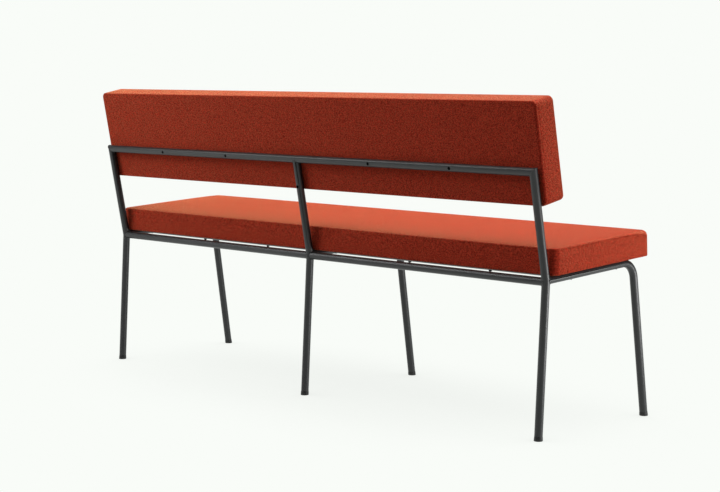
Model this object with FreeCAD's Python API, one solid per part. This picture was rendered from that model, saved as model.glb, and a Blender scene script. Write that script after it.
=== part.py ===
import FreeCAD
import Part
import math
import os

# Bench with backrest: a welded frame of round steel tube carries an upholstered seat and back.
# +X runs along the bench, -Y is the front and +Z is up.
# The origin is on the floor, under the middle of the bench.
# The frame is laid out from the rear rail: its axis lies at Y = 0 until the finished bench is centred.

# Driving dimensions, in millimetres and degrees

# Tube frame
tube_diameter = 22.0
tube_wall = 2.0
rear_rail_height = 409.0  # rear rail axis above the floor, where the rear legs kink
rear_leg_splay = 3.3
back_recline = 10.9
upright_length = 288.0  # from the rear rail axis to the back rail axis, along the upright
side_rail_rise = 3.6  # side rail axis above the rear rail axis, at the rear legs
side_rail_length = 371.0  # from the rear leg axis to the corner above the front leg
seat_tilt = 3.1
front_bend_radius = 50.0
front_leg_splay = 8.4

# Glides
glide_height = 12.0
glide_foot_diameter = 23.6
glide_stem_length = 26.0
glide_fit_clearance = 0.05

# Cushions, seat and back
seat_length = 1800.0
seat_overhang = 24.0  # seat past the axis of an end frame
back_overhang = 20.5  # back past the axis of an end frame
side_draw_in = 0.8  # how far the cover pulls the long sides in, at their middle
end_draw_in = 0.4
crown_ridge_width = 20.0
crown_shape = ((0, 0), (0.4, 0.65), (1, 1))  # share of the way to the ridge, share of the crown's rise
edge_roll_angles = (0, 45, 90)
smallest_corner_radius = 1.5  # of a plate set far inside its cushion
contact_gap = 0.1  # between a cushion and the tubes that it lies against
cover_thickness = 1.5
board_thickness = 15.0
seat_depth = 411.0
seat_thickness = 70.0
seat_crown = 5.0
seat_corner_radius = 20.0
seat_edge_roll = 7.0
seat_base_roll = 2.5
seat_board_inset = 8.0
seat_upright_gap = 0.5  # between the seat's rear edge and the uprights
hem_width = 45.0  # cover turned under the seat board
dust_cover_clearance = 1.0
back_height = 272.0
back_thickness = 75.5
back_crown = 4.0
back_corner_radius = 15.0
back_edge_roll = 6.0
back_base_roll = 2.5
back_board_inset = 5.0
panel_seam_clearance = 0.2
back_below_rail = 92.0  # from the back rail axis down to the back's lower edge

# Seat bearers
rear_bearer_setback = 95.0  # bearer axis from the seat's rear edge
front_bearer_setback = 290.0

# Holes for the back screws, which go in through the rear wall of the tube
screw_pitch = 300.0
access_hole_diameter = 9.0
lower_screw_height = 12.0  # above the back's lower edge, on the centre upright

# Values worked out from the driving dimensions

tube_radius = tube_diameter / 2
tube_bore_radius = tube_radius - tube_wall
frame_spacing = seat_length / 2 - seat_overhang  # from the centre frame to each end frame
back_length = 2 * (frame_spacing + back_overhang)
frame_places = {"left": frame_spacing, "centre": 0.0, "right": -frame_spacing}
span_places = {"left": (0.0, frame_spacing), "right": (-frame_spacing, 0.0)}
screw_places = [-2 * screw_pitch, -screw_pitch, screw_pitch, 2 * screw_pitch]
rail_screw_spots = [(x, back_below_rail) for x in screw_places]
upright_screw_spot = (0.0, lower_screw_height)
past_end = 4 * tube_diameter  # length that a tube or cutter runs past before it is trimmed
recline = math.radians(back_recline)
tilt = math.radians(seat_tilt)
rear_splay = math.radians(rear_leg_splay)
front_splay = math.radians(front_leg_splay)


def vector(x, y, z):
    return FreeCAD.Vector(x, y, z)


upright_up = vector(0, math.sin(recline), math.cos(recline))
back_forward = vector(0, -math.cos(recline), math.sin(recline))
rear_leg_up = vector(0, -math.sin(rear_splay), math.cos(rear_splay))
front_leg_up = vector(0, math.sin(front_splay), math.cos(front_splay))
seat_forward = vector(0, -math.cos(tilt), math.sin(tilt))
seat_up = vector(0, math.sin(tilt), math.cos(tilt))

rear_axis = vector(0, 0, rear_rail_height)
side_rail_start = rear_axis + vector(0, 0, side_rail_rise)
front_corner = side_rail_start + seat_forward * side_rail_length
rear_foot = rear_axis - rear_leg_up * (rear_rail_height / rear_leg_up.z)
front_foot = front_corner - front_leg_up * (front_corner.z / front_leg_up.z)
back_rail_axis = rear_axis + upright_up * upright_length

# The seat's rear lower edge stops just short of the front of the uprights.
seat_rear_reach = (
    tube_radius * (seat_up.y + 1 / upright_up.z)
    + seat_upright_gap
    - (side_rail_rise + tube_radius * seat_up.z) * math.tan(recline)
) / (seat_up.z + seat_up.y * math.tan(recline))
seat_origin = side_rail_start + seat_forward * seat_rear_reach + seat_up * (tube_radius + contact_gap)
back_origin = (
    back_rail_axis
    - upright_up * back_below_rail
    + back_forward * (tube_radius + contact_gap)
)


# Placing and trimming

def at_frame(point, x):
    """A point of the side view, at one frame's place along the bench."""
    return vector(x, point.y, point.z)


def on_seat(shape):
    """Set a shape on the tilted seat, drawn with the seat's rear lower edge on the X axis."""
    placed = shape.copy()
    placed.rotate(vector(0, 0, 0), vector(1, 0, 0), -seat_tilt)
    placed.translate(seat_origin)
    return placed


def on_back(shape):
    """Set a shape on the reclined back, drawn with the back's rear lower edge on the X axis."""
    placed = shape.copy()
    placed.rotate(vector(0, 0, 0), vector(1, 0, 0), -back_recline)
    placed.translate(back_origin)
    return placed


def half_space(point, outward):
    """A block with its flat end at a point, large enough to trim one tube."""
    return Part.makeCylinder(past_end, past_end, point, outward)


def trim(shape, *cutters):
    """Cut a solid and keep it as one solid."""
    for cutter in cutters:
        shape = shape.cut(cutter)
    return shape.Solids[0]


# Tubes

def bend_tangent(half_angle, bend_radius):
    """Straight run that a bend takes up on each side of its corner."""
    return bend_radius / math.tan(half_angle)


def bent_path(points, bend_radius):
    """Straight runs through the points, with one tangent arc at each inner point."""
    edges = []
    start = points[0]
    for before, corner, after in zip(points, points[1:], points[2:]):
        back = (before - corner).normalize()
        ahead = (after - corner).normalize()
        inward = (back + ahead).normalize()
        half_angle = back.getAngle(ahead) / 2
        tangent = bend_tangent(half_angle, bend_radius)
        arc_middle = corner + inward * (bend_radius / math.sin(half_angle) - bend_radius)
        arc_start = corner + back * tangent
        arc_end = corner + ahead * tangent
        edges.append(Part.LineSegment(start, arc_start).toShape())
        edges.append(Part.Arc(arc_start, arc_middle, arc_end).toShape())
        start = arc_end
    edges.append(Part.LineSegment(start, points[-1]).toShape())
    return Part.Wire(edges)


def bent_rod(points, radius, bend_radius):
    """Solid round rod along a bent path."""
    section = Part.Wire(Part.Circle(points[0], points[1] - points[0], radius).toShape())
    sweep = Part.BRepOffsetAPI.MakePipeShell(bent_path(points, bend_radius))
    sweep.add(section)
    sweep.build()
    sweep.makeSolid()
    return sweep.shape()


def straight_rod(start, end, radius):
    """Solid round rod between two points."""
    return Part.makeCylinder(radius, start.distanceToPoint(end), start, end - start)


def front_leg_points(x):
    """Axis of a front leg: forward along the side rail, round the corner and down to its glide."""
    return [
        at_frame(side_rail_start, x),
        at_frame(front_corner, x),
        at_frame(front_foot + front_leg_up * glide_height, x),
    ]


def rear_leg_rod(x, radius):
    """Rod up a rear leg from its glide, kinked at the rear rail, and past the back rail."""
    kink = at_frame(rear_axis, x)
    low = at_frame(rear_foot + rear_leg_up * glide_height, x)
    high = at_frame(back_rail_axis + upright_up * tube_diameter, x)
    across = rear_leg_up + upright_up
    leg = straight_rod(low, kink + rear_leg_up * tube_diameter, radius)
    upright = straight_rod(kink - upright_up * tube_diameter, high, radius)
    return leg.cut(half_space(kink, across)).fuse(upright.cut(half_space(kink, across * -1)))


def front_leg_rod(x, radius):
    """Rod along a side rail, round its bend and down a front leg."""
    return bent_rod(front_leg_points(x), radius, front_bend_radius)


def back_rail_rod(radius):
    """Rod along the back rail, past both end uprights."""
    reach = frame_spacing + tube_diameter
    return straight_rod(at_frame(back_rail_axis, -reach), at_frame(back_rail_axis, reach), radius)


def mitre_cutter(x, keep_upright):
    """Block on one side of the mitre between an end upright and the back rail."""
    inward = vector(-math.copysign(1, x), 0, 0)
    towards_rail = upright_up + inward
    side = towards_rail if keep_upright else towards_rail * -1
    return half_space(at_frame(back_rail_axis, x), side)


def make_rear_leg(x):
    """Leg and upright in one tube, mitred at an end frame and coped under the rail at the centre."""
    tube = rear_leg_rod(x, tube_radius).cut(rear_leg_rod(x, tube_bore_radius))
    if x:
        return trim(tube, mitre_cutter(x, True))
    tube = tube.cut(back_rail_rod(tube_radius))
    upright = min(tube.Solids, key=lambda solid: solid.CenterOfMass.z)
    return trim(upright, access_hole(upright_screw_spot))


def make_front_leg(x):
    """Side rail and front leg in one tube, coped to the rear leg; the closed bend is left solid."""
    start, corner, foot = front_leg_points(x)
    half_angle = (start - corner).getAngle(foot - corner) / 2
    bend_reach = bend_tangent(half_angle, front_bend_radius)
    rail_bore = straight_rod(start, corner - seat_forward * bend_reach, tube_bore_radius)
    leg_bore = straight_rod(foot, corner - front_leg_up * bend_reach, tube_bore_radius)
    tube = front_leg_rod(x, tube_radius).cut(rail_bore).cut(leg_bore)
    return max(tube.cut(rear_leg_rod(x, tube_radius)).Solids, key=lambda solid: solid.Volume)


def access_hole(spot):
    """Hole through the rear wall of a tube behind the back, at a place along it and a height on it."""
    x, height = spot
    start = vector(x, contact_gap + tube_radius, height)
    hole = Part.makeCylinder(access_hole_diameter / 2, tube_diameter, start, vector(0, 1, 0))
    return on_back(hole)


def make_back_rail():
    """Rail across the top of the uprights, mitred at both ends and drilled for the back screws."""
    tube = back_rail_rod(tube_radius).cut(back_rail_rod(tube_bore_radius))
    mitres = [mitre_cutter(x, False) for x in frame_places.values() if x]
    return trim(tube, *mitres, *[access_hole(spot) for spot in rail_screw_spots])


def cross_tube(axis, span):
    """Tube along X at a point of the side view, between two frames."""
    ends = [at_frame(axis, x) for x in span]
    return straight_rod(*ends, tube_radius).cut(straight_rod(*ends, tube_bore_radius))


def make_rear_rail(span):
    """Rail between two rear legs, coped to them and to the side rails that meet them."""
    cutters = [rod(x, tube_radius) for x in span for rod in (rear_leg_rod, front_leg_rod)]
    tube = cross_tube(rear_axis, span)
    for cutter in cutters:
        tube = tube.cut(cutter)
    return max(tube.Solids, key=lambda solid: solid.Volume)


def bearer_axis(setback):
    """Bearer axis in the side view, level with the side rails under the seat."""
    return seat_origin + seat_forward * setback - seat_up * (tube_radius + contact_gap)


def make_bearer(setback, span):
    """Seat bearer between two side rails, coped to them."""
    tube = cross_tube(bearer_axis(setback), span)
    for x in span:
        tube = tube.cut(front_leg_rod(x, tube_radius))
    return max(tube.Solids, key=lambda solid: solid.Volume)


# Glides

def glide_profile():
    """Half section of a glide along its leg: foot, shoulder under the tube and stem in its bore."""
    below_floor = glide_foot_diameter * math.tan(max(rear_splay, front_splay))
    foot_radius = glide_foot_diameter / 2
    stem_radius = tube_bore_radius - glide_fit_clearance
    stem_top = glide_height + glide_stem_length
    points = [(0, -below_floor), (foot_radius, -below_floor), (foot_radius, glide_height)]
    points += [(stem_radius, glide_height), (stem_radius, stem_top), (0, stem_top)]
    return [vector(radius, 0, height) for radius, height in points]


def make_glide(foot, leg_up, x):
    """Push-in glide whose base is level with the floor under a splayed leg."""
    profile = glide_profile()
    body = Part.Face(Part.makePolygon(profile + profile[:1]))
    body = body.revolve(vector(0, 0, 0), vector(0, 0, 1), 360)
    lean = math.degrees(math.atan2(-leg_up.y, leg_up.z))
    body.rotate(vector(0, 0, 0), vector(1, 0, 0), lean)
    body.translate(at_frame(foot, x))
    return trim(body, half_space(at_frame(foot, x), vector(0, 0, -1)))


# Cushions

def outline(length, width, corner, side_in, end_in, height):
    """Rounded rectangle in plan whose sides may be drawn in a little between the corners."""
    half_length, half_width = length / 2, width / 2
    flat_x, flat_y = half_length - corner, half_width - corner

    def side(start, middle, end, draw_in):
        points = [vector(*point, height) for point in (start, middle, end)]
        if draw_in:
            return Part.Arc(*points).toShape()
        return Part.LineSegment(points[0], points[2]).toShape()

    def bend(sx, sy, start_angle):
        centre = vector(sx * flat_x, sy * flat_y, height)
        return Part.makeCircle(corner, centre, vector(0, 0, 1), start_angle, start_angle + 90)

    return Part.Wire([
        side((half_length, -flat_y), (half_length - end_in, 0), (half_length, flat_y), end_in),
        bend(1, 1, 0),
        side((flat_x, half_width), (0, half_width - side_in), (-flat_x, half_width), side_in),
        bend(-1, 1, 90),
        side((-half_length, flat_y), (end_in - half_length, 0), (-half_length, -flat_y), end_in),
        bend(-1, -1, 180),
        side((-flat_x, -half_width), (0, side_in - half_width), (flat_x, -half_width), side_in),
        bend(1, -1, 270),
    ])


def crown_step(length, width, low, high):
    """Flat-sided step of a crown, from one inset and height up to the next."""
    (low_inset, base), (high_inset, top) = low, high
    low_x, low_y = length / 2 - low_inset, width / 2 - low_inset
    high_x, high_y = length / 2 - high_inset, width / 2 - high_inset
    step = Part.makeWedge(-low_x, 0, -low_y, -high_y, -high_x, low_x, top - base, low_y, high_y, high_x)
    step.rotate(vector(0, 0, 0), vector(1, 0, 0), 90)
    step.translate(vector(0, 0, base))
    return step


def cushion_form(length, width, thickness, corner, base_roll, edge_roll, crown):
    """Padded block on the XY plane: rolled edges, sides drawn in and a crown that rises to a ridge."""
    levels = [(base_roll, 0), (0, base_roll)]
    for angle in edge_roll_angles:
        turn = math.radians(angle)
        levels.append((edge_roll * (1 - math.cos(turn)), thickness - edge_roll * (1 - math.sin(turn))))
    wires = []
    for inset, height in levels:
        plan = (length - 2 * inset, width - 2 * inset)
        wires.append(outline(*plan, corner - inset, side_draw_in, end_draw_in, height))
    form = Part.makeLoft(wires, True, True)
    crown_start = edge_roll + corner / 2 + side_draw_in
    crown_reach = width / 2 - crown_start - crown_ridge_width / 2
    steps = [(crown_start + crown_reach * share, thickness + crown * rise) for share, rise in crown_shape]
    for low, high in zip(steps, steps[1:]):
        form = form.fuse(crown_step(length, width, low, high))
    return form.Solids[0]


def plate(length, width, corner, thickness, base):
    """Flat plate with rounded corners that lies on the XY plane, its base at a height."""
    face = Part.Face(outline(length, width, corner, 0, 0, base))
    return face.extrude(vector(0, 0, thickness))


def seat_form(shrink):
    """The seat's padded form, or the same form drawn in all round by a thickness of cloth."""
    form = cushion_form(
        seat_length - 2 * shrink,
        seat_depth - 2 * shrink,
        seat_thickness - 2 * shrink,
        seat_corner_radius - shrink,
        seat_base_roll - shrink,
        seat_edge_roll - shrink,
        seat_crown,
    )
    form.translate(vector(0, -seat_depth / 2, shrink))
    return form


def seat_plate(inset, thickness, base):
    """Flat plate of the seat, inset all round from its outline."""
    corner = max(seat_corner_radius - inset, smallest_corner_radius)
    flat = plate(seat_length - 2 * inset, seat_depth - 2 * inset, corner, thickness, base)
    flat.translate(vector(0, -seat_depth / 2, 0))
    return flat


def stand_up(shape):
    """Turn a back piece drawn lying on its rear face upright, its lower edge on the X axis."""
    shape.rotate(vector(0, 0, 0), vector(1, 0, 0), 90)
    shape.translate(vector(0, 0, back_height / 2))
    return shape


def back_form(shrink):
    """The back's padded form, or the same form drawn in all round by a thickness of cloth."""
    form = cushion_form(
        back_length - 2 * shrink,
        back_height - 2 * shrink,
        back_thickness - 2 * shrink,
        back_corner_radius - shrink,
        back_base_roll - shrink,
        back_edge_roll - shrink,
        back_crown,
    )
    form.translate(vector(0, 0, shrink))
    return stand_up(form)


def back_plate(inset, thickness, base):
    """Flat plate of the back, inset all round from its outline."""
    corner = max(back_corner_radius - inset, smallest_corner_radius)
    return stand_up(plate(back_length - 2 * inset, back_height - 2 * inset, corner, thickness, base))


# Seat pieces

def make_seat_cover():
    """Fabric round the seat, turned under the board to a hem."""
    opening = seat_plate(hem_width, cover_thickness, 0)
    return on_seat(trim(seat_form(0), seat_form(cover_thickness), opening))


def seat_board_blank():
    """The seat's board before it is set in place."""
    return seat_plate(seat_board_inset, board_thickness, cover_thickness)


def make_seat_board():
    """Plywood board that the seat is built on."""
    return on_seat(seat_board_blank())


def make_seat_foam():
    """Foam over the board and round its edge."""
    return on_seat(trim(seat_form(cover_thickness), seat_board_blank()))


def make_seat_dust_cover():
    """Thin cloth that closes the underside inside the hem."""
    return on_seat(seat_plate(hem_width + dust_cover_clearance, cover_thickness, 0))


# Back pieces

def make_back_cover():
    """Fabric over the front and edges of the back, open at the rear."""
    opening = back_plate(back_base_roll, cover_thickness, 0)
    return on_back(trim(back_form(0), back_form(cover_thickness), opening))


def make_back_rear_panel():
    """Fabric panel that closes the rear of the back."""
    return on_back(back_plate(back_base_roll + panel_seam_clearance, cover_thickness, 0))


def back_board_blank():
    """The back's board before it is set in place."""
    return back_plate(back_board_inset, board_thickness, cover_thickness)


def make_back_board():
    """Plywood board that the back is built on."""
    return on_back(back_board_blank())


def make_back_foam():
    """Foam in front of the board and round its edge."""
    return on_back(trim(back_form(cover_thickness), back_board_blank()))


# The whole bench

def make_frame():
    """Welded tubes and their glides."""
    pieces = {}
    for side, x in frame_places.items():
        pieces["rear_leg_" + side] = make_rear_leg(x)
        pieces["front_leg_" + side] = make_front_leg(x)
    for row, foot, leg_up in (("rear", rear_foot, rear_leg_up), ("front", front_foot, front_leg_up)):
        glides = [make_glide(foot, leg_up, x) for x in frame_places.values()]
        pieces["glides_" + row] = Part.makeCompound(glides)
    for side, span in span_places.items():
        pieces["rear_rail_" + side] = make_rear_rail(span)
        pieces["seat_bearer_rear_" + side] = make_bearer(rear_bearer_setback, span)
        pieces["seat_bearer_front_" + side] = make_bearer(front_bearer_setback, span)
    pieces["back_rail"] = make_back_rail()
    return pieces


def make_cushions():
    """Upholstered seat and back."""
    return {
        "seat_cover": make_seat_cover(),
        "seat_foam": make_seat_foam(),
        "seat_board": make_seat_board(),
        "seat_dust_cover": make_seat_dust_cover(),
        "back_cover": make_back_cover(),
        "back_rear_panel": make_back_rear_panel(),
        "back_foam": make_back_foam(),
        "back_board": make_back_board(),
    }


def export(pieces):
    """Centre the bench on the origin and write one file for each piece."""
    os.makedirs("parts", exist_ok=True)
    bounds = Part.makeCompound(list(pieces.values())).optimalBoundingBox(False)
    centring = vector(-bounds.Center.x, -bounds.Center.y, 0)
    for name, shape in pieces.items():
        shape.translate(centring)
        shape.exportStep("parts/" + name + ".step")
    size = (bounds.XLength, bounds.YLength, bounds.ZLength)
    print(len(pieces), "pieces, moved by", centring.y, "size", *size)


export({**make_frame(), **make_cushions()})
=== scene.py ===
import bmesh
import bpy
import math
from mathutils import Matrix, Vector


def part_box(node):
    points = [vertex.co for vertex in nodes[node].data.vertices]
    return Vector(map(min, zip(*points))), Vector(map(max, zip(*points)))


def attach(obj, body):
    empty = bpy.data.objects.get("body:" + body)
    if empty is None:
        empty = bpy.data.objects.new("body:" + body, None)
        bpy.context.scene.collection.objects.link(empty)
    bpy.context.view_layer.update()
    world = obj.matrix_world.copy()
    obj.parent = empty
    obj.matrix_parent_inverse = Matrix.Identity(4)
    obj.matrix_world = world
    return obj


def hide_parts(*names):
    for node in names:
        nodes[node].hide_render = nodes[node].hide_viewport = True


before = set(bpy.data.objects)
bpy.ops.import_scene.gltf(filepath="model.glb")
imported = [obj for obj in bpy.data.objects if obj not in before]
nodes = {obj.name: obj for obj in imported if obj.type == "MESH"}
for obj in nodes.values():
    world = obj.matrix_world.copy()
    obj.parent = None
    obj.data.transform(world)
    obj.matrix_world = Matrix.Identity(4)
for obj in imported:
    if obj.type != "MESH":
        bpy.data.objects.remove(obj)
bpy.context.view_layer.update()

# Bench with backrest: felt-covered cushions on a powder-coated frame of round tube.
# Lengths are in metres in the frame's own axes: +X along the bench, -Y to the front, +Z up.


def mm(length):
    return length / 1000


# Sizes that the looks need; the rest is read from the frame

# Tubes and their welds
SEAT_TILT = math.radians(3.1)
BACK_RECLINE = math.radians(10.9)
TUBE_RADIUS = mm(11)
TUBE_WALL = mm(2)
WELD_RADIUS = mm(1.7)
MITRE_WELD_RADIUS = mm(0.9)
WELD_RIPPLES = 18
WELD_RIPPLE_SHARE = 0.14  # of the bead's radius
RIPPLE_POINTS = 4
BEAD_SIDES = 8
JOINT_RUN_UP = 6 * TUBE_RADIUS  # how far back along a tube the search for its joint starts
MERGE_REACH = mm(0.005)

# Glides: the profile is in shares of the foot's radius and of the height
GLIDE_HEIGHT = mm(12)
GLIDE_FOOT_RADIUS = mm(11.8)
GLIDE_PROFILE = (
    (0.55, 0.0), (0.93, 0.0), (0.985, 0.04), (1.0, 0.12),
    (0.99, 0.5), (0.955, 0.93), (0.94, 1.0), (0.6, 1.0),
)
GLIDE_SIDES = 32
GLIDE_BASE_ZONE = mm(0.5)
GLIDE_TOP_ZONE = mm(3)

# Seat cushion: the side levels are shares of the side's height
SEAT_CORNER = mm(20)
SEAT_CROWN = mm(4)
SEAT_BASE_ROLL = mm(2.5)
SEAT_EDGE_ROLL = mm(5)
SEAT_FRONT_ROLL = mm(10)  # added to the edge roll at the front
SEAT_FRONT_ZONE = mm(70)  # from the front edge, where the roll starts to grow
SEAT_FRONT_BLEND = mm(60)
SEAT_SIDE_LEVELS = (0.2, 0.4, 0.6, 0.8, 0.92, 0.96)
SEAT_SEAM_LEVEL = SEAT_SIDE_LEVELS[-1]
SEAT_SEAM_DEPTH = mm(1.5)
HEM_WIDTH = mm(45)
HEM_STEP = mm(2)

# Back cushion, lying on its rear panel
BACK_CORNER = mm(15)
BACK_CROWN = mm(4)
BACK_BASE_ROLL = mm(2.5)
BACK_END_ROLL = mm(4)  # added to the base roll at the ends
BACK_END_ZONE = mm(16)  # from each end, where the roll starts to grow
BACK_END_BLEND = mm(12)
BACK_EDGE_ROLL = mm(6)
BACK_SIDE_LEVELS = (0.03, 0.06, 0.25, 0.5, 0.75, 0.95)
BACK_SEAM_LEVEL = BACK_SIDE_LEVELS[0]
BACK_SEAM_DEPTH = mm(1)

# Padding: the mesh starts with a part of the crown, and the cover may swell by the rest
CUSHION_CELL = mm(14)
CORNER_STEPS = 5
CROWN_END_POWER = 12
CROWN_SIDE_POWER = 3
BUILT_CROWN_SHARE = 0.3
SWELL_CROWN_SHARE = 1 - BUILT_CROWN_SHARE
SWELL_PRESSURE = 4.0
SWELL_STEPS = 20
PIN_STIFFNESS = 10
SIDE_HOLD = 0.6

# Dust cover and its staples
CLOTH_THICKNESS = mm(0.5)
CLOTH_CELL = mm(8)
CLOTH_LIFT = mm(0.3)
CLOTH_DRAW = mm(0.5)
CLOTH_DRAW_REACH = mm(12)
STAPLE_PITCH = mm(48)
STAPLE_INSET = mm(7)
STAPLE_LIFT = mm(0.25)
STAPLE_HALF_LENGTH = mm(5)
STAPLE_HALF_WIDTH = mm(0.6)
STAPLE_WIRE = mm(0.25)
STAPLE_SKEW = math.radians(4)

# Screws: each head has a radius and a height, and the profile is in shares of them
SCREW_PITCH = mm(300)
LOWER_SCREW_HEIGHT = mm(12)
SEAT_SCREW_HEAD = (mm(4.75), mm(3.4))
BACK_SCREW_HEAD = (mm(3.8), mm(2.6))
SCREW_PROFILE = (
    (0.98, 0.0), (1.0, 0.12), (0.97, 0.45), (0.82, 0.8), (0.6, 0.97), (0.5, 1.0),
    (0.42, 1.0), (0.42, 0.35), (0.05, 0.3),
)
SCREW_SIDES = 18

# Widths and depths of the patterns on the surfaces
COAT_CLOUD = mm(40)
COAT_PEEL = mm(0.9)
COAT_PEEL_DEPTH = mm(0.02)
PLASTIC_GRAIN = mm(0.6)
PLASTIC_GRAIN_DEPTH = mm(0.01)
FELT_CLOUD = mm(14)
FELT_FLECK = mm(3.4)  # as coarse as the flecks need to be to show in the render
FELT_FLECK_DEPTH = mm(0.6)
FELT_FIBRE = mm(0.7)  # tufts of fibre, as single fibres are too fine to show
FELT_FIBRE_DEPTH = mm(0.2)
CLOTH_DOT = mm(1.5)
CLOTH_DOT_DEPTH = mm(0.05)
BORE_CLOUD = mm(5)
WOOD_GRAIN = mm(6)
WOOD_GRAIN_STRETCH = 20  # along the board
PLATING_CLOUD = mm(3)

# Camera of the photograph, taken as 720 by 492 pixels
CAMERA_PLACE = (mm(-3585.2), mm(3560.9), mm(954.4))
CAMERA_YAW = 45.03
CAMERA_PITCH = -6.01
CAMERA_LENS = 85.02
CAMERA_SENSOR = 36.0

# White of the floor and backdrop, and the floor's shade: how open to the sky a spot is sets its tone
WHITE = "#f9fcf8"
FLOOR_GREY = "#8a8a8a"
FLOOR_RADIUS = 14
SHADE_REACH = 0.9
SHADE_TONE = 0.9
SHADE_OPENNESS = (0.5, 0.82)

# Dome that fills the shade, and the backdrop in reflections: pale only round one heading
DOME_LEVEL = 0.02
BRIGHT_HEADING = (0.61, -0.61, -0.51)
BRIGHT_SPREAD = (0.45, 0.9)
DARK_LEVEL = 0.1

# Soft lights: place, point that it faces, width and height, and watts.
# Those at the front light the seat's top under the back, and the weak ones at the rear fill the shade.
LIGHTS = {
    "top": ((-0.2, 0.25, 3.2), (-0.2, 0.25, 0), (3.4, 2.0), 72),
    "front_top": ((-0.4, -1.6, 3.0), (-0.2, 0, 0.5), (3.4, 1.6), 90),
    "front": ((0, -2.8, 2.2), (0, 0, 0.55), (3.4, 1.2), 42),
    "left_rear_top": ((2.2, 2.2, 2.6), (0.3, 0.2, 0.6), (1.6, 1.2), 36),
    "left_rear": ((2.2, 1.8, 0.9), (0.8, 0, 0.65), (1.2, 1.2), 6),
    "rear": ((0.6, 3.0, 1.2), (0.2, 0.2, 0.6), (2.6, 0.8), 4),
    "right_end": ((-2.0, -0.6, 0.15), (-0.9, 0, 0.4), (0.9, 0.3), 10),
}

# Seat and back in their own leaned axes: along the bench, to the rear and up from the base
SEAT_TO_ROW = Matrix.Rotation(-SEAT_TILT, 4, "X")
UPRIGHT_TO_ROW = Matrix.Rotation(-BACK_RECLINE, 4, "X")
BACK_TO_ROW = UPRIGHT_TO_ROW @ Matrix.Rotation(math.radians(90), 4, "X")


# Node helpers

def linear(hex_code):
    """Linear colour of an sRGB hex code."""
    channels = [int(hex_code[i:i + 2], 16) / 255 for i in (1, 3, 5)]
    return [c / 12.92 if c <= 0.04045 else ((c + 0.055) / 1.055) ** 2.4 for c in channels] + [1.0]


def add_node(tree, kind, inputs=None, output=0, **settings):
    """New node with its settings, each input set to a value or linked to a socket; gives one output."""
    node = tree.nodes.new(kind)
    for name, value in settings.items():
        setattr(node, name, value)
    for name, value in (inputs or {}).items():
        if isinstance(value, bpy.types.NodeSocket):
            tree.links.new(value, node.inputs[name])
        else:
            node.inputs[name].default_value = value
    return node.outputs[output] if len(node.outputs) else None


def emptied_tree(holder):
    """Node tree of a material or a world, with no nodes in it."""
    holder.use_nodes = True
    holder.node_tree.nodes.clear()
    return holder.node_tree


def new_material(name):
    """Empty material, its node tree, and the place on the bench that its patterns read."""
    material = bpy.data.materials.new(name)
    tree = emptied_tree(material)
    return material, tree, add_node(tree, "ShaderNodeTexCoord", output="Object")


def by_ray(tree, lit, mirrored, seen):
    """Separate shaders for the light that falls on the bench, for its reflections and for the camera."""
    rays = add_node(tree, "ShaderNodeLightPath").node.outputs
    lit_or_mirrored = add_node(tree, "ShaderNodeMixShader", {0: rays["Is Glossy Ray"], 1: lit, 2: mirrored})
    return add_node(tree, "ShaderNodeMixShader", {0: rays["Is Camera Ray"], 1: lit_or_mirrored, 2: seen})


# Materials

def powder_coat():
    """Anthracite powder coat on steel: semi-matte, with a fine orange-peel surface."""
    material, tree, place = new_material("powder_coated_steel")
    cloud = add_node(tree, "ShaderNodeTexNoise", {"Vector": place, "Scale": 1 / COAT_CLOUD, "Detail": 3.0})
    cloud = add_node(tree, "ShaderNodeMapRange", {"Value": cloud, "From Min": 0.35, "From Max": 0.65})
    inputs = {"Factor": cloud, 6: linear("#2a2c2d"), 7: linear("#303233")}
    tone = add_node(tree, "ShaderNodeMix", inputs, 2, data_type="RGBA")
    peel = add_node(tree, "ShaderNodeTexNoise", {"Vector": place, "Scale": 1 / COAT_PEEL})
    normal = add_node(tree, "ShaderNodeBump", {"Height": peel, "Distance": COAT_PEEL_DEPTH})
    inputs = {"Base Color": tone, "Roughness": 0.36, "Normal": normal}
    surface = add_node(tree, "ShaderNodeBsdfPrincipled", inputs)
    add_node(tree, "ShaderNodeOutputMaterial", {"Surface": surface})
    return material


def glide_plastic():
    """Near-black moulded polyethylene of the glides: dull, with a fine grain from the mould."""
    material, tree, place = new_material("glide_plastic")
    grain = add_node(tree, "ShaderNodeTexNoise", {"Vector": place, "Scale": 1 / PLASTIC_GRAIN})
    normal = add_node(tree, "ShaderNodeBump", {"Height": grain, "Distance": PLASTIC_GRAIN_DEPTH})
    inputs = {"Base Color": linear("#151516"), "Roughness": 0.5, "Normal": normal}
    surface = add_node(tree, "ShaderNodeBsdfPrincipled", inputs)
    add_node(tree, "ShaderNodeOutputMaterial", {"Surface": surface})
    return material


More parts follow.
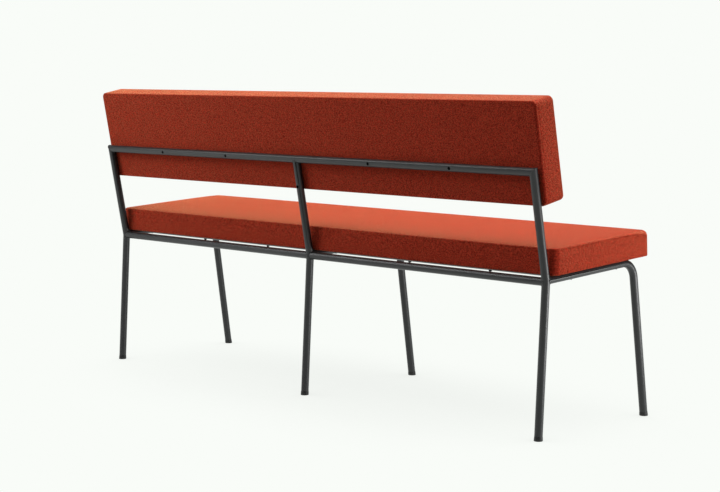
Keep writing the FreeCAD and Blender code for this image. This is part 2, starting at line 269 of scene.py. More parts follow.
def felt():
    """Felted wool in a mottled red-orange: matte, with short fibres that catch light from the side."""
    material, tree, place = new_material("upholstery_fabric")
    inputs = {"Vector": place, "Scale": 1 / FELT_CLOUD, "Detail": 3.0, "Roughness": 0.6}
    cloud = add_node(tree, "ShaderNodeTexNoise", inputs)
    cloud = add_node(tree, "ShaderNodeMapRange", {"Value": cloud, "From Min": 0.3, "From Max": 0.7})
    inputs = {"Factor": cloud, 6: linear("#e2462d"), 7: linear("#ec5137")}
    wool = add_node(tree, "ShaderNodeMix", inputs, 2, data_type="RGBA")
    inputs = {"Vector": place, "Scale": 1 / FELT_FLECK, "Detail": 3.0, "Roughness": 0.8}
    fleck = add_node(tree, "ShaderNodeTexNoise", inputs)
    fleck = add_node(tree, "ShaderNodeMapRange", {"Value": fleck, "From Min": 0.39, "From Max": 0.61})
    inputs = {"Factor": fleck, 6: linear("#96200d"), 7: wool}
    mottled = add_node(tree, "ShaderNodeMix", inputs, 2, data_type="RGBA")
    inputs = {"Vector": place, "Scale": 1 / FELT_FIBRE, "Detail": 3.0, "Roughness": 0.7}
    fibre = add_node(tree, "ShaderNodeTexNoise", inputs)
    coarse = add_node(tree, "ShaderNodeBump", {"Height": fleck, "Distance": FELT_FLECK_DEPTH})
    inputs = {"Height": fibre, "Distance": FELT_FIBRE_DEPTH, "Normal": coarse}
    normal = add_node(tree, "ShaderNodeBump", inputs)
    inputs = {"Base Color": mottled, "Roughness": 0.95, "Specular IOR Level": 0.15, "Normal": normal}
    inputs.update({"Sheen Weight": 0.8, "Sheen Roughness": 0.3, "Sheen Tint": linear("#ffe6a0")})
    surface = add_node(tree, "ShaderNodeBsdfPrincipled", inputs)
    add_node(tree, "ShaderNodeOutputMaterial", {"Surface": surface})
    return material


def dust_cloth():
    """Black spun cloth under the seat: thin and dull, with pressed dots."""
    material, tree, place = new_material("dust_cover_cloth")
    dots = add_node(tree, "ShaderNodeTexVoronoi", {"Vector": place, "Scale": 1 / CLOTH_DOT})
    dots = add_node(tree, "ShaderNodeMapRange", {"Value": dots, "From Min": 0.1, "From Max": 0.5})
    inputs = {"Factor": dots, 6: linear("#101011"), 7: linear("#232325")}
    tone = add_node(tree, "ShaderNodeMix", inputs, 2, data_type="RGBA")
    normal = add_node(tree, "ShaderNodeBump", {"Height": dots, "Distance": CLOTH_DOT_DEPTH})
    inputs = {"Base Color": tone, "Roughness": 0.85, "Normal": normal}
    surface = add_node(tree, "ShaderNodeBsdfPrincipled", inputs)
    add_node(tree, "ShaderNodeOutputMaterial", {"Surface": surface})
    return material


def bore_steel_and_shade():
    """Rolling scale inside the tubes, which the coat doesn't reach: dull, and painted near black as the
    shade inside the bore.
    """
    material, tree, place = new_material("mill_scale_steel")
    inputs = {"Vector": place, "Scale": 1 / BORE_CLOUD, "Detail": 3.0}
    cloud = add_node(tree, "ShaderNodeTexNoise", inputs)
    # Near-black tones: partly the dull mill scale, partly painted shade inside the bore
    inputs = {"Factor": cloud, 6: linear("#060607"), 7: linear("#0e0e0f")}
    tone = add_node(tree, "ShaderNodeMix", inputs, 2, data_type="RGBA")
    inputs = {"Base Color": tone, "Roughness": 0.85, "Specular IOR Level": 0.1}
    surface = add_node(tree, "ShaderNodeBsdfPrincipled", inputs)
    add_node(tree, "ShaderNodeOutputMaterial", {"Surface": surface})
    return material


def plywood():
    """Sanded birch plywood of the hidden boards: pale, with its grain along the bench."""
    material, tree, place = new_material("plywood")
    inputs = {"Vector": place, "Scale": (1 / WOOD_GRAIN_STRETCH, 1, 1)}
    stretched = add_node(tree, "ShaderNodeMapping", inputs)
    inputs = {"Vector": stretched, "Scale": 1 / WOOD_GRAIN, "Detail": 4.0, "Roughness": 0.6}
    grain = add_node(tree, "ShaderNodeTexNoise", inputs)
    grain = add_node(tree, "ShaderNodeMapRange", {"Value": grain, "From Min": 0.3, "From Max": 0.7})
    inputs = {"Factor": grain, 6: linear("#b98d5c"), 7: linear("#d8b483")}
    tone = add_node(tree, "ShaderNodeMix", inputs, 2, data_type="RGBA")
    surface = add_node(tree, "ShaderNodeBsdfPrincipled", {"Base Color": tone, "Roughness": 0.6})
    add_node(tree, "ShaderNodeOutputMaterial", {"Surface": surface})
    return material


def plated_steel(name, dark, pale, roughness):
    """Plated steel of small fasteners, a little uneven in tone."""
    material, tree, place = new_material(name)
    cloud = add_node(tree, "ShaderNodeTexNoise", {"Vector": place, "Scale": 1 / PLATING_CLOUD})
    inputs = {"Factor": cloud, 6: linear(dark), 7: linear(pale)}
    tone = add_node(tree, "ShaderNodeMix", inputs, 2, data_type="RGBA")
    inputs = {"Base Color": tone, "Metallic": 1.0, "Roughness": roughness}
    surface = add_node(tree, "ShaderNodeBsdfPrincipled", inputs)
    add_node(tree, "ShaderNodeOutputMaterial", {"Surface": surface})
    return material


COAT = powder_coat()
# Bores of the drilled tubes: mill scale, painted near black as shade
BORE_STEEL_AND_SHADE = bore_steel_and_shade()
PLASTIC = glide_plastic()
FELT = felt()
DUST_CLOTH = dust_cloth()
PLYWOOD = plywood()
ZINC = plated_steel("zinc_plated_steel", "#8f9398", "#b9bcc0", 0.35)
BLACK_ZINC = plated_steel("black_zinc_steel", "#111112", "#1c1c1d", 0.5)


# Pieces

def mesh_from(name, points, faces):
    """Mesh from points and faces, with its faces turned outwards."""
    mesh = bpy.data.meshes.new(name)
    mesh.from_pydata([tuple(p) for p in points], [], faces)
    work = bmesh.new()
    work.from_mesh(mesh)
    bmesh.ops.recalc_face_normals(work, faces=work.faces)
    work.to_mesh(mesh)
    work.free()
    return mesh


def new_object(name, mesh):
    made = bpy.data.objects.new(name, mesh)
    bpy.context.scene.collection.objects.link(made)
    return made


def new_piece(name, mesh, material, replaced=(), smooth_angle=35):
    """Piece that rides on the bench, shaded smooth between its sharp edges."""
    mesh.materials.clear()
    mesh.materials.append(material)
    mesh.polygons.foreach_set("use_smooth", [True] * len(mesh.polygons))
    mesh.set_sharp_from_angle(angle=math.radians(smooth_angle))
    piece = new_object(name, mesh)
    if replaced:
        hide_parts(*replaced)
    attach(piece, "root")
    return piece


def baked(source):
    """Plain mesh of an object with its modifiers; the object is removed."""
    shown = source.evaluated_get(bpy.context.evaluated_depsgraph_get())
    mesh = bpy.data.meshes.new_from_object(shown)
    bpy.data.objects.remove(source)
    return mesh


def joined(name, meshes):
    """One mesh that holds the shapes of several."""
    work = bmesh.new()
    for mesh in meshes:
        work.from_mesh(mesh)
    whole = bpy.data.meshes.new(name)
    work.to_mesh(whole)
    work.free()
    return whole


def new_tree(name, kinds, made):
    """Geometry node group with a named input of each kind and one geometry output."""
    tree = bpy.data.node_groups.new(name, "GeometryNodeTree")
    for socket, kind in kinds.items():
        tree.interface.new_socket(socket, in_out="INPUT", socket_type="NodeSocket" + kind)
    tree.interface.new_socket(made, in_out="OUTPUT", socket_type="NodeSocketGeometry")
    return tree


def grown(name, tree, points, edges, values):
    """Plain mesh that a node group makes of points and edges, with its named inputs set."""
    mesh = bpy.data.meshes.new(name + "_carrier")
    mesh.from_pydata([tuple(p) for p in points], edges, [])
    carrier = new_object(name + "_carrier", mesh)
    modifier = carrier.modifiers.new(name, "NODES")
    modifier.node_group = tree
    for socket in tree.interface.items_tree:
        if socket.name in values:
            modifier[socket.identifier] = values[socket.name]
    return baked(carrier)


def merged_copy(node):
    """A frame node's mesh with its loose triangles joined."""
    mesh = bpy.data.meshes.new(node + "_smooth")
    work = bmesh.new()
    work.from_mesh(nodes[node].data)
    bmesh.ops.remove_doubles(work, verts=work.verts, dist=MERGE_REACH)
    work.to_mesh(mesh)
    work.free()
    return mesh


def middle(node):
    """Middle of a frame node's box."""
    low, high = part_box(node)
    return (low + high) / 2


def local_box(node, to_row):
    """Lowest and highest corner of a frame node in leaned axes."""
    back = to_row.inverted()
    spots = [back @ v.co for v in nodes[node].data.vertices]
    return [Vector(pick(s[i] for s in spots) for i in range(3)) for pick in (min, max)]


def ring_faces(rings):
    """Quads between rings of point numbers, each ring closed on itself."""
    return [
        [low[i - 1], low[i], high[i], high[i - 1]]
        for low, high in zip(rings, rings[1:])
        for i in range(len(low))
    ]


def turned_mesh(name, points, sides):
    """Mesh of rings of points, one after another, closed by a flat face at each end."""
    rings = [list(range(first, first + sides)) for first in range(0, len(points), sides)]
    return mesh_from(name, points, ring_faces(rings) + [rings[0], rings[-1]])


# Tube frame

FRAME_X = {side: middle("rear_leg_" + side).x for side in ("left", "centre", "right")}
RAIL_AXIS = middle("rear_rail_left")
BACK_RAIL_AXIS = middle("back_rail")
UPRIGHT_UP = UPRIGHT_TO_ROW @ Vector((0, 0, 1))
BENCH_REAR = UPRIGHT_TO_ROW @ Vector((0, 1, 0))
SEAT_REAR = SEAT_TO_ROW @ Vector((0, 1, 0))
SEAT_UP = SEAT_TO_ROW @ Vector((0, 0, 1))
ALONG = Vector((1, 0, 0))
DRILLED_TUBES = {
    "back_rail": (BACK_RAIL_AXIS, ALONG),
    "rear_leg_centre": (BACK_RAIL_AXIS, UPRIGHT_UP),
}


def bare_and_shaded_bore(mesh, point, axis):
    """Bare steel on a drilled tube's inner wall, seen through its holes, in a near-black tone that paints
    the shade inside the tube.
    """
    mesh.materials.append(BORE_STEEL_AND_SHADE)
    for face in mesh.polygons:
        out = face.center - point
        out -= axis * out.dot(axis)
        if out.length < TUBE_RADIUS - TUBE_WALL / 4:
            face.material_index = 1


def dress_tubes():
    """Frame tubes in powder coat, smooth round their walls."""
    for node in nodes:
        if "_leg_" in node or "rail" in node or "bearer" in node:
            tube = new_piece(node + "_coated", merged_copy(node), COAT, [node])
            if node in DRILLED_TUBES:
                bare_and_shaded_bore(tube.data, *DRILLED_TUBES[node])


def reach_tube(start, heading, axis_point, axis):
    """Way along a heading from a point to the outside of a tube."""
    gap = start - axis_point
    gap -= axis * gap.dot(axis)
    pace = heading - axis * heading.dot(axis)
    half = pace.dot(gap)
    spread = half * half - pace.dot(pace) * (gap.dot(gap) - TUBE_RADIUS ** 2)
    return (-half - math.sqrt(max(spread, 0))) / pace.dot(pace)


def reach_plane(start, heading, point, normal):
    """Way along a heading from a point to a plane."""
    return (point - start).dot(normal) / heading.dot(normal)


def joint_path(start, heading, reach, *target):
    """Closed path round a tube where it meets another tube or a plane."""
    side = heading.orthogonal().normalized()
    other = heading.cross(side)
    steps = RIPPLE_POINTS * WELD_RIPPLES
    path = []
    for i in range(steps):
        turn = 2 * math.pi * i / steps
        spot = start + (side * math.cos(turn) + other * math.sin(turn)) * TUBE_RADIUS
        path.append(spot + heading * reach(spot, heading, *target))
    return path


def bead_tree():
    """Node group that lays a rippled round bead along each path of edges."""
    kinds = {"Paths": "Geometry", "Radius": "Float", "Ripple": "Float", "Material": "Material"}
    tree = new_tree("weld_bead", kinds, "Beads")
    given = add_node(tree, "NodeGroupInput").node.outputs
    paths = add_node(tree, "GeometryNodeMeshToCurve", {"Mesh": given["Paths"]})
    number = add_node(tree, "GeometryNodeInputIndex")
    inputs = {0: number, 1: 2 * math.pi / RIPPLE_POINTS}
    turn = add_node(tree, "ShaderNodeMath", inputs, operation="MULTIPLY")
    wave = add_node(tree, "ShaderNodeMath", {0: turn}, operation="COSINE")
    inputs = {0: wave, 1: given["Ripple"], 2: 1.0}
    thickness = add_node(tree, "ShaderNodeMath", inputs, operation="MULTIPLY_ADD")
    inputs = {"Resolution": BEAD_SIDES, "Radius": given["Radius"]}
    ring = add_node(tree, "GeometryNodeCurvePrimitiveCircle", inputs)
    inputs = {"Curve": paths, "Profile Curve": ring, "Scale": thickness}
    beads = add_node(tree, "GeometryNodeCurveToMesh", inputs)
    real = add_node(tree, "GeometryNodeRealizeInstances", {"Geometry": beads})
    inputs = {"Geometry": real, "Material": given["Material"]}
    coated = add_node(tree, "GeometryNodeSetMaterial", inputs)
    add_node(tree, "NodeGroupOutput", {"Beads": coated})
    return tree


def laid_beads(name, tree, paths, radius):
    """Mesh of a rippled bead along each closed path."""
    points, edges = [], []
    for path in paths:
        first = len(points)
        points += path
        edges += [(first + i, first + (i + 1) % len(path)) for i in range(len(path))]
    values = {"Radius": radius, "Ripple": WELD_RIPPLE_SHARE, "Material": COAT}
    return grown(name, tree, points, edges, values)


def weld_frame():
    """Weld beads round the joints of the tubes, under the same coat."""
    leg_axis = Vector((0, 0, 1))
    crossings = {"rear_rail_": leg_axis, "seat_bearer_rear_": SEAT_REAR, "seat_bearer_front_": SEAT_REAR}
    spans = (("left", "centre", "left"), ("right", "right", "centre"))
    round_joints, mitres = [], []
    for span, low, high in spans:
        for node, axis in crossings.items():
            start = middle(node + span)
            for end, heading in ((low, -ALONG), (high, ALONG)):
                hit = Vector((FRAME_X[end], start.y, start.z))
                round_joints.append(joint_path(start, heading, reach_tube, hit, axis))
    rail_height = (middle("seat_bearer_rear_left") - RAIL_AXIS).dot(SEAT_UP)
    for x in FRAME_X.values():
        hit = Vector((x, RAIL_AXIS.y, RAIL_AXIS.z))
        start = hit + SEAT_UP * rail_height - SEAT_REAR * JOINT_RUN_UP
        round_joints.append(joint_path(start, SEAT_REAR, reach_tube, hit, leg_axis))
    start = BACK_RAIL_AXIS - UPRIGHT_UP * JOINT_RUN_UP
    round_joints.append(joint_path(start, UPRIGHT_UP, reach_tube, BACK_RAIL_AXIS, ALONG))
    for x in (FRAME_X["left"], FRAME_X["right"]):
        corner = Vector((x, BACK_RAIL_AXIS.y, BACK_RAIL_AXIS.z))
        mitre = (UPRIGHT_UP - ALONG * math.copysign(1, x)).normalized()
        start = corner - UPRIGHT_UP * JOINT_RUN_UP
        mitres.append(joint_path(start, UPRIGHT_UP, reach_plane, corner, mitre))
    tree = bead_tree()
    meshes = [
        laid_beads("round_joints", tree, round_joints, WELD_RADIUS),
        laid_beads("mitres", tree, mitres, MITRE_WELD_RADIUS),
    ]
    new_piece("weld_beads", joined("weld_beads", meshes), COAT)


def glide_mesh(foot, leg_up):
    """Glide under a splayed leg: level and rounded at the floor, square to the tube at its top."""
    across = leg_up.cross(ALONG)
    points = []
    for share, rise in GLIDE_PROFILE:
        for i in range(GLIDE_SIDES):
            turn = 2 * math.pi * i / GLIDE_SIDES
            out = (ALONG * math.cos(turn) + across * math.sin(turn)) * share * GLIDE_FOOT_RADIUS
            square = rise * GLIDE_HEIGHT
            level = square - out.z / leg_up.z
            points.append(foot + out + leg_up * (level + (square - level) * rise))
    return turned_mesh("glide", points, GLIDE_SIDES)


def make_glides():
    """Push-in glides of each row, flared a little to the floor, with the lean of the centre leg."""
    for row in ("rear", "front"):
        node = "glides_" + row
        spots = [v.co for v in nodes[node].data.vertices if abs(v.co.x) < 3 * TUBE_RADIUS]
        base = [s.y for s in spots if s.z < GLIDE_BASE_ZONE]
        crest = max(s.z for s in spots)
        top = [s.y for s in spots if s.z > crest - GLIDE_TOP_ZONE]
        foot_y = (min(base) + max(base)) / 2
        lean = (sum(top) / len(top) - foot_y) / crest
        leg_up = Vector((0, lean, 1)).normalized()
        meshes = [glide_mesh(Vector((x, foot_y, 0)), leg_up) for x in FRAME_X.values()]
        new_piece(node + "_moulded", joined(node + "_moulded", meshes), PLASTIC, [node], 50)


# Cushions

class Cushion:
    """Padded block in the leaned axes of the seat or the back, as large as its cover in the frame.

    It lies on its base in the local XY plane. Its corners are round in plan, and its base and top
    edges are rolled by amounts that may change along the outline.
    """

    def __init__(self, cover, to_row, corner, crown, base_roll, edge_roll):
        low, high = local_box(cover, to_row)
        self.to_row = to_row
        self.half = (high - low) / 2
        self.origin = Vector(((low.x + high.x) / 2, (low.y + high.y) / 2, low.z))
        self.corner = corner
        self.crown = crown
        self.thickness = high.z - low.z - crown
        self.base_roll = base_roll
        self.edge_roll = edge_roll

    def marks(self, axis, extra):
        """Grid lines across one direction: cells and extra lines between the corners, then round them.

        Each is a place and the share of the corner's radius that is added to it.
        """
        flat = self.half[axis] - self.corner
        count = round(2 * flat / CUSHION_CELL)
        places = [-flat + 2 * flat * i / count for i in range(1, count)]
        places = [p for p in places if all(abs(p - e) > CUSHION_CELL / 3 for e in extra)]
        low = [(-flat, -i / CORNER_STEPS) for i in range(CORNER_STEPS, -1, -1)]
        high = [(flat, i / CORNER_STEPS) for i in range(CORNER_STEPS + 1)]
        return low + [(p, 0) for p in sorted(places + list(extra))] + high

    def section(self, x, y, level):
        """Inset and height of a level of the side, at a place along the outline."""
        kind, share = level
        base, edge = self.base_roll(self, x, y), self.edge_roll(self, x, y)
        turn = math.radians(90 * share)
        if kind == "base":
            return base * (1 - math.sin(turn)), base * (1 - math.cos(turn))
        if kind == "side":
            return 0.0, base + share * (self.thickness - base - edge)
        return edge * (1 - math.cos(turn)), self.thickness - edge * (1 - math.sin(turn))

    def point(self, mark_x, mark_y, level):
        """Point of two grid lines at a level of the side."""
        (x, u), (y, v) = mark_x, mark_y
        inset, height = self.section(x + u * self.corner, y + v * self.corner, level)
        radius = self.corner - inset
        x += u * math.sqrt(1 - v * v / 2) * radius
        y += v * math.sqrt(1 - u * u / 2) * radius
        return Vector((x, y, height))

    def rise(self, x, y):
        """Height of the crown at a place on the top."""
        along = 1 - abs(x / self.half.x) ** CROWN_END_POWER
        across = 1 - abs(y / self.half.y) ** CROWN_SIDE_POWER
        return self.crown * along * across

    def mesh(self, name, levels, extra=((), ())):
        """Closed mesh of base and top grids joined by a ring at each level; keeps their point numbers."""
        marks_x, marks_y = self.marks(0, extra[0]), self.marks(1, extra[1])
        last_x, last_y = len(marks_x) - 1, len(marks_y) - 1
        rim = [(i, 0) for i in range(last_x)] + [(last_x, j) for j in range(last_y)]
        rim += [(i, last_y) for i in range(last_x, 0, -1)] + [(0, j) for j in range(last_y, 0, -1)]
        points, faces = [], []

        def place(i, j, level):
            points.append(self.point(marks_x[i], marks_y[j], level))
            return len(points) - 1

        def grid(ring, level):
            numbers = dict(ring)
            for i in range(1, last_x):
                for j in range(1, last_y):
                    numbers[i, j] = place(i, j, level)
            for i in range(last_x):
                for j in range(last_y):
                    corners = ((i, j), (i + 1, j), (i + 1, j + 1), (i, j + 1))
                    faces.append([numbers[c] for c in corners])
            return list(numbers.values())

        rings = [{spot: place(*spot, level) for spot in rim} for level in levels]
        self.base = grid(rings[0], levels[0])
        self.top = grid(rings[-1], levels[-1])
        self.rings = [list(ring.values()) for ring in rings]
        return mesh_from(name, points, faces + ring_faces(self.rings))


def swell(mesh, held, limit):
    """Blow the cover up by cloth simulation, up to a limit, with points held by their share."""
    piece = new_object(mesh.name + "_sewn", mesh)
    group = piece.vertex_groups.new(name="held")
    for number, share in held.items():
        group.add([number], share, "REPLACE")
    cloth = piece.modifiers.new("cloth", "CLOTH")
    cloth.settings.use_pressure = True
    cloth.settings.uniform_pressure_force = SWELL_PRESSURE
    cloth.settings.vertex_group_mass = "held"
    cloth.settings.pin_stiffness = PIN_STIFFNESS
    cloth.settings.effector_weights.gravity = 0
    cloth.point_cache.frame_end = SWELL_STEPS
    for step in range(1, SWELL_STEPS + 1):
        bpy.context.scene.frame_set(step)
    blown = piece.evaluated_get(bpy.context.evaluated_depsgraph_get()).data
    moves = [b.co - v.co for b, v in zip(blown.vertices, mesh.vertices)]
    for vertex, move in zip(mesh.vertices, moves):
        vertex.co += move * min(1, limit / max(move.length, limit))
    bpy.data.objects.remove(piece)
    bpy.context.scene.frame_set(1)


def pad(cushion, mesh, tight):
    """Crown the top and swell the cover, held at its tight points and partly round its sides."""
    for number in cushion.top:
        spot = mesh.vertices[number].co
        spot.z += BUILT_CROWN_SHARE * cushion.rise(spot.x, spot.y)
    held = {number: SIDE_HOLD for ring in cushion.rings for number in ring}
    held.update({number: 1.0 for number in tight})
    swell(mesh, held, SWELL_CROWN_SHARE * cushion.crown)


def sew(mesh, ring, depth):
    """Draw a ring of points into the padding, by a depth that may change along it, where a seam runs."""
    mesh.update()
    moves = [(mesh.vertices[i], mesh.vertices[i].normal.copy()) for i in ring]
    for vertex, out in moves:
        vertex.co -= out * depth(vertex.co)


def finished_cushion(name, cushion, mesh, replaced):
    """Cushion mesh set in place, subdivided once and covered in felt."""
    mesh.transform(Matrix.Translation(cushion.origin))
    mesh.transform(cushion.to_row)
    work = new_object(name + "_work", mesh)
    finer = work.modifiers.new("finer", "SUBSURF")
    finer.levels = finer.render_levels = 1
    piece = new_piece(name, baked(work), FELT, replaced, 80)


def ease(value):
    """Smooth step from 0 to 1."""
    value = min(max(value, 0), 1)
    return value * value * (3 - 2 * value)


def near_front(seat, y):
    """0 over most of the seat, rising to 1 near its front edge."""
    return ease((SEAT_FRONT_ZONE - (y + seat.half.y)) / SEAT_FRONT_BLEND)


def seat_base_roll(seat, x, y):
    """Tight all round."""
    return SEAT_BASE_ROLL


def seat_edge_roll(seat, x, y):
    """Tight at the rear and the ends, softer over the front edge."""
    return SEAT_EDGE_ROLL + SEAT_FRONT_ROLL * near_front(seat, y)


def make_seat():
    """Seat cushion: felt over foam, seamed along the top edge and turned under to a hem."""
    seat = Cushion("seat_cover", SEAT_TO_ROW, SEAT_CORNER, SEAT_CROWN, seat_base_roll, seat_edge_roll)
    levels = [("base", step / 2) for step in range(3)]
    levels += [("side", share) for share in SEAT_SIDE_LEVELS]
    levels += [("edge", step / 4) for step in range(5)]
    hems = [[s * (h - HEM_WIDTH - off) for s in (-1, 1) for off in (0, HEM_STEP)] for h in seat.half[:2]]
    mesh = seat.mesh("seat_cushion_coarse", levels, hems)
    opening = [h - HEM_WIDTH - HEM_STEP / 2 for h in seat.half[:2]]
    for number in seat.base:
        spot = mesh.vertices[number].co
        if abs(spot.x) < opening[0] and abs(spot.y) < opening[1]:
            spot.z += HEM_STEP
    pad(seat, mesh, seat.base + seat.rings[1] + seat.rings[2])
    seam = seat.rings[levels.index(("side", SEAT_SEAM_LEVEL))]
    sew(mesh, seam, lambda spot: SEAT_SEAM_DEPTH * (1 - near_front(seat, spot.y)))
    finished_cushion("seat_cushion", seat, mesh, ["seat_cover", "seat_foam"])


def back_base_roll(back, x, y):
    """Tight along the top and bottom of the rear panel, softer round its ends."""
    return BACK_BASE_ROLL + BACK_END_ROLL * ease((abs(x) - back.half.x + BACK_END_ZONE) / BACK_END_BLEND)


def back_edge_roll(back, x, y):
    """The same all round the front face."""
    return BACK_EDGE_ROLL


def make_back():
    """Back cushion: felt over foam, seamed round its rear panel."""
    back = Cushion("back_cover", BACK_TO_ROW, BACK_CORNER, BACK_CROWN, back_base_roll, back_edge_roll)
    levels = [("base", step / 3) for step in range(4)]
    levels += [("side", share) for share in BACK_SIDE_LEVELS]
    levels += [("edge", step / 3) for step in range(4)]
    mesh = back.mesh("back_cushion_coarse", levels)
    pad(back, mesh, back.base)
    seam = back.rings[levels.index(("side", BACK_SEAM_LEVEL))]
    sew(mesh, seam, lambda spot: BACK_SEAM_DEPTH)
    finished_cushion("back_cushion", back, mesh, ["back_cover", "back_foam", "back_rear_panel"])


# Underside and fasteners

def make_dust_cover():
    """Thin black cloth stretched inside the hem, drawn up along its edges at about the staples' pitch."""
    low, high = local_box("seat_dust_cover", SEAT_TO_ROW)
    count_x, count_y = (round((high[i] - low[i]) / CLOTH_CELL) for i in (0, 1))
    points = []
    for i in range(count_x + 1):
        for j in range(count_y + 1):
            x = low.x + (high.x - low.x) * i / count_x
            y = low.y + (high.y - low.y) * j / count_y
            inside = min(x - low.x, high.x - x, y - low.y, high.y - y)
            along = x if inside in (y - low.y, high.y - y) else y
            draw = math.sin(math.pi * along / STAPLE_PITCH) ** 2 * math.exp(-inside / CLOTH_DRAW_REACH)
            points.append((x, y, low.z + CLOTH_LIFT + CLOTH_DRAW * draw))
    row = count_y + 1
    faces = [
        [i * row + j, (i + 1) * row + j, (i + 1) * row + j + 1, i * row + j + 1]
        for i in range(count_x)
        for j in range(count_y)
    ]
    mesh = mesh_from("dust_cover", points, faces)
    mesh.transform(SEAT_TO_ROW)
    work = new_object("dust_cover_work", mesh)
    solid = work.modifiers.new("thickness", "SOLIDIFY")
    solid.thickness = CLOTH_THICKNESS
    solid.offset = -1 if mesh.polygons[0].normal.z > 0 else 1
    piece = new_piece("dust_cover", baked(work), DUST_CLOTH, ["seat_dust_cover"])
    return low, high


def scatter_tree():
    """Node group that sets one shape on every point of a mesh, turned alike but for a small skew."""
    kinds = {"Points": "Geometry", "Shape": "Object", "Turn": "Rotation"}
    kinds.update({"Skew": "Float", "Material": "Material"})
    tree = new_tree("scatter", kinds, "Pieces")
    given = add_node(tree, "NodeGroupInput").node.outputs
    shape = add_node(tree, "GeometryNodeObjectInfo", {"Object": given["Shape"]}, "Geometry")
    low = add_node(tree, "ShaderNodeMath", {0: given["Skew"], 1: -1.0}, operation="MULTIPLY")
    skew = add_node(tree, "FunctionNodeRandomValue", {2: low, 3: given["Skew"], "Seed": 7}, 1)
    spin = add_node(tree, "ShaderNodeCombineXYZ", {"Z": skew})
    inputs = {"Points": given["Points"], "Instance": shape, "Rotation": given["Turn"]}
    placed = add_node(tree, "GeometryNodeInstanceOnPoints", inputs)
    turned = add_node(tree, "GeometryNodeRotateInstances", {"Instances": placed, "Rotation": spin})
    real = add_node(tree, "GeometryNodeRealizeInstances", {"Geometry": turned})
    inputs = {"Geometry": real, "Material": given["Material"]}
    plated = add_node(tree, "GeometryNodeSetMaterial", inputs)
    add_node(tree, "NodeGroupOutput", {"Pieces": plated})
    return tree


SCATTER = scatter_tree()


def scattered(name, shape, spots, turn, material, skew=0.0):
    """Mesh of one shape set on each spot, all turned by one rotation matrix."""
    model = new_object(name + "_model", shape)
    values = {"Shape": model, "Turn": turn.to_euler(), "Skew": skew, "Material": material}
    mesh = grown(name, SCATTER, spots, [], values)
    bpy.data.objects.remove(model)
    return mesh


def screw_head(radius, height):
    """Pan head with a socket in its top, its seat at Z = 0."""
    turns = [2 * math.pi * i / SCREW_SIDES for i in range(SCREW_SIDES)]
    points = [
        (radius * share * math.cos(turn), radius * share * math.sin(turn), height * rise)
        for share, rise in SCREW_PROFILE
        for turn in turns
    ]
    return turned_mesh("screw_head", points, SCREW_SIDES)


def make_screws():
    """Screws up through the bearers into the seat board, and through the tubes into the back board."""
    places = [s * SCREW_PITCH for s in (-2, -1, 1, 2)]
    under = [
        Vector((x, middle(row).y, middle(row).z)) - SEAT_UP * TUBE_RADIUS
        for row in ("seat_bearer_rear_left", "seat_bearer_front_left")
        for x in places
    ]
    down = SEAT_TO_ROW @ Matrix.Rotation(math.radians(180), 4, "X")
    heads = scattered("seat_screws", screw_head(*SEAT_SCREW_HEAD), under, down, BLACK_ZINC)
    new_piece("seat_screws", heads, BLACK_ZINC)
    wall = -BENCH_REAR * (TUBE_RADIUS - TUBE_WALL)
    low = local_box("back_cover", UPRIGHT_TO_ROW)[0].z
    rise = (UPRIGHT_TO_ROW.inverted() @ BACK_RAIL_AXIS).z - low
    behind = [Vector((x, BACK_RAIL_AXIS.y, BACK_RAIL_AXIS.z)) + wall for x in places]
    behind.append(BACK_RAIL_AXIS - UPRIGHT_UP * (rise - LOWER_SCREW_HEIGHT) + wall)
    rearwards = UPRIGHT_TO_ROW @ Matrix.Rotation(math.radians(-90), 4, "X")
    heads = scattered("back_screws", screw_head(*BACK_SCREW_HEAD), behind, rearwards, BLACK_ZINC)
    new_piece("back_screws", heads, BLACK_ZINC)


def staple():
    """Crown of a staple along X, bent down at its ends to sink into the board."""
    ends = (STAPLE_HALF_LENGTH, STAPLE_WIRE * 0.2)
    crown = (STAPLE_HALF_LENGTH * 0.9, STAPLE_WIRE * 2)
    points = [
        (s * x, t * STAPLE_HALF_WIDTH, z)
        for x, z in (ends, crown)
        for s in (-1, 1)
        for t in (-1, 1)
    ]
    faces = [[0, 1, 5, 4], [2, 3, 7, 6], [4, 5, 7, 6], [0, 2, 6, 4], [1, 3, 7, 5], [0, 1, 3, 2]]
    return mesh_from("staple", points, faces)


def make_staples(low, high):
    """Staples round the edge of the dust cover, clear of the bearers."""
    to_seat = SEAT_TO_ROW.inverted()
    bearers = [(to_seat @ middle("seat_bearer_%s_left" % row)).y for row in ("rear", "front")]
    base = low.z + STAPLE_LIFT
    sides, ends = [], []
    count = round((high.x - low.x) / STAPLE_PITCH)
    for i in range(count):
        x = low.x + (high.x - low.x) * (i + 0.5) / count
        sides += [Vector((x, y, base)) for y in (low.y + STAPLE_INSET, high.y - STAPLE_INSET)]
    count = round((high.y - low.y) / STAPLE_PITCH)
    for i in range(count):
        y = low.y + (high.y - low.y) * (i + 0.5) / count
        if all(abs(y - b) > 2 * TUBE_RADIUS for b in bearers):
            ends += [Vector((x, y, base)) for x in (low.x + STAPLE_INSET, high.x - STAPLE_INSET)]
    down = SEAT_TO_ROW @ Matrix.Rotation(math.radians(180), 4, "X")
    turned = down @ Matrix.Rotation(math.radians(90), 4, "Z")
    meshes = [
        scattered("staples", staple(), [SEAT_TO_ROW @ s for s in spots], turn, ZINC, STAPLE_SKEW)
        for spots, turn in ((sides, down), (ends, turned))
    ]
    new_piece("staples", joined("staples", meshes), ZINC)


# Stage

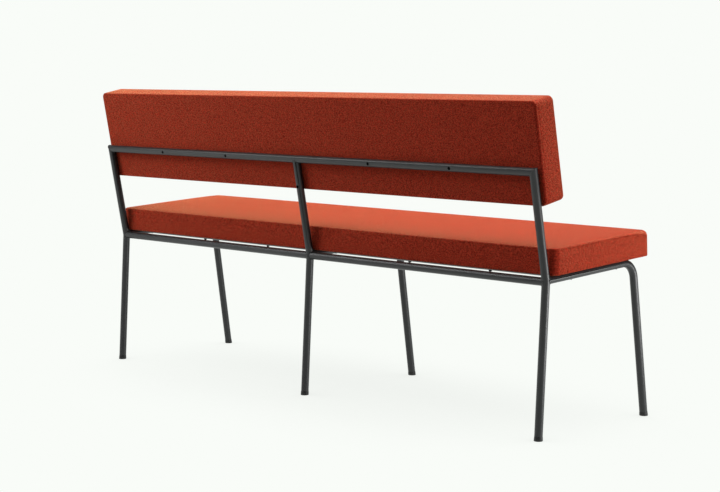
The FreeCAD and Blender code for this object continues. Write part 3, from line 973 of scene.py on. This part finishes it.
def make_floor():
    """White floor that darkens a little under the bench, as far as the bench hides the sky."""
    bpy.ops.mesh.primitive_circle_add(vertices=64, radius=FLOOR_RADIUS, fill_type="NGON")
    floor = bpy.context.object
    floor.name = "floor"
    material = bpy.data.materials.new("studio_floor")
    tree = emptied_tree(material)
    openness = add_node(tree, "ShaderNodeAmbientOcclusion", {"Distance": SHADE_REACH}, "AO", samples=16)
    inputs = {"Value": openness, "From Min": SHADE_OPENNESS[0], "From Max": SHADE_OPENNESS[1]}
    inputs.update({"To Min": SHADE_TONE, "To Max": 1.0})
    tone = add_node(tree, "ShaderNodeMapRange", inputs)
    shown = add_node(tree, "ShaderNodeEmission", {"Color": linear(WHITE), "Strength": tone})
    lit = add_node(tree, "ShaderNodeBsdfDiffuse", {"Color": linear(FLOOR_GREY)})
    add_node(tree, "ShaderNodeOutputMaterial", {"Surface": by_ray(tree, lit, shown, shown)})
    floor.data.materials.append(material)


def make_world():
    """White to the camera, a faint dome to the bench, and in reflections white only round one heading."""
    world = bpy.data.worlds.new("studio")
    bpy.context.scene.world = world
    tree = emptied_tree(world)
    dome = add_node(tree, "ShaderNodeBackground", {"Color": (1, 1, 1, 1), "Strength": DOME_LEVEL})
    heading = add_node(tree, "ShaderNodeTexCoord", output="Generated")
    inputs = {0: heading, 1: BRIGHT_HEADING}
    facing = add_node(tree, "ShaderNodeVectorMath", inputs, "Value", operation="DOT_PRODUCT")
    inputs = {"Value": facing, "From Min": BRIGHT_SPREAD[0], "From Max": BRIGHT_SPREAD[1]}
    inputs.update({"To Min": DARK_LEVEL, "To Max": 1.0})
    strength = add_node(tree, "ShaderNodeMapRange", inputs)
    mirrored = add_node(tree, "ShaderNodeBackground", {"Color": linear(WHITE), "Strength": strength})
    white = add_node(tree, "ShaderNodeBackground", {"Color": linear(WHITE)})
    add_node(tree, "ShaderNodeOutputWorld", {"Surface": by_ray(tree, dome, mirrored, white)})


def add_light(name, place, aim, size, power):
    """Soft rectangular light at a place, turned to a point."""
    data = bpy.data.lights.new(name, "AREA")
    data.shape = "RECTANGLE"
    data.size, data.size_y = size
    data.energy = power
    light = bpy.data.objects.new(name, data)
    light.location = place
    light.rotation_euler = (Vector(aim) - Vector(place)).to_track_quat("-Z", "Y").to_euler()
    bpy.context.scene.collection.objects.link(light)


def make_camera():
    """Camera at the photograph's place and angle."""
    data = bpy.data.cameras.new("photo_camera")
    data.sensor_fit = "HORIZONTAL"
    data.sensor_width = CAMERA_SENSOR
    data.lens = CAMERA_LENS
    camera = bpy.data.objects.new("photo_camera", data)
    camera.location = CAMERA_PLACE
    camera.rotation_euler = (math.radians(90 + CAMERA_PITCH), 0, math.radians(CAMERA_YAW - 180))
    bpy.context.scene.collection.objects.link(camera)
    bpy.context.scene.camera = camera


# The bench

bpy.context.scene.view_settings.view_transform = "Standard"
make_floor()
make_world()
for light_name, light_settings in LIGHTS.items():
    add_light(light_name, *light_settings)
make_camera()
dress_tubes()
weld_frame()
make_glides()
make_seat()
make_back()
cloth_low, cloth_high = make_dust_cover()
make_staples(cloth_low, cloth_high)
make_screws()
for board in ("seat_board", "back_board"):
    nodes[board].data.materials.clear()
    nodes[board].data.materials.append(PLYWOOD)
